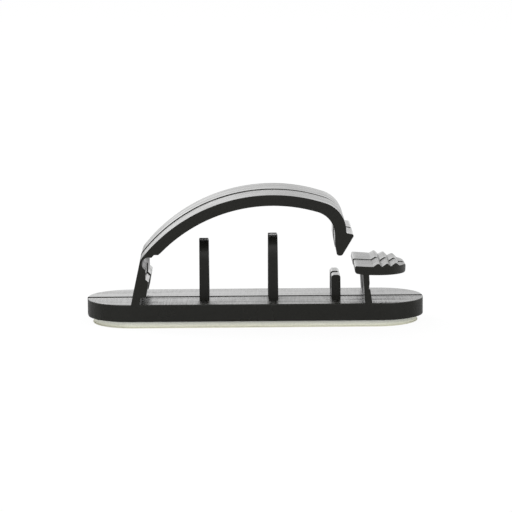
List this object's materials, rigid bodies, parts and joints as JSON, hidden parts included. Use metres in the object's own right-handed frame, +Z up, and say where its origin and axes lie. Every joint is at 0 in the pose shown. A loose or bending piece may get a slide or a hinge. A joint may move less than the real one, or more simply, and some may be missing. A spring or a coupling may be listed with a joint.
{
  "type": "cable clip",
  "caption": "Self-adhesive cable clip, moulded open: round-ended base with dividers and a ribbed thumb catch, and a film-hinged arched strap with a snap hook.",
  "frame": {"origin": "on the surface the clip is stuck to, below the middle of its base plate", "axes": "+X from the hinge to the catch, +Y from front to rear, +Z up"},
  "size_m": [0.0512, 0.0136, 0.0202],
  "materials": {
    "black_plastic": "satin moulded, fine flow streaks",
    "foam_tape": "matte closed-cell foam",
    "liner_paper": "smooth waxed paper"
  },
  "bodies": {
    "base": {"clip_base": "black_plastic", "hinge_film": "black_plastic", "foam_pad": "foam_tape", "release_liner": "liner_paper"},
    "strap": {"strap": "black_plastic"}
  },
  "joints": [
    {"name": "strap_hinge", "type": "hinge", "parent": "base", "child": "strap", "pos_m": [-0.01708, 0, 0.0102], "axis": [0, 1, 0], "range_deg": [-110, 6.2], "stiffness_Nm_per_rad": 0.02, "deforming": ["hinge_film"]}
  ]
}
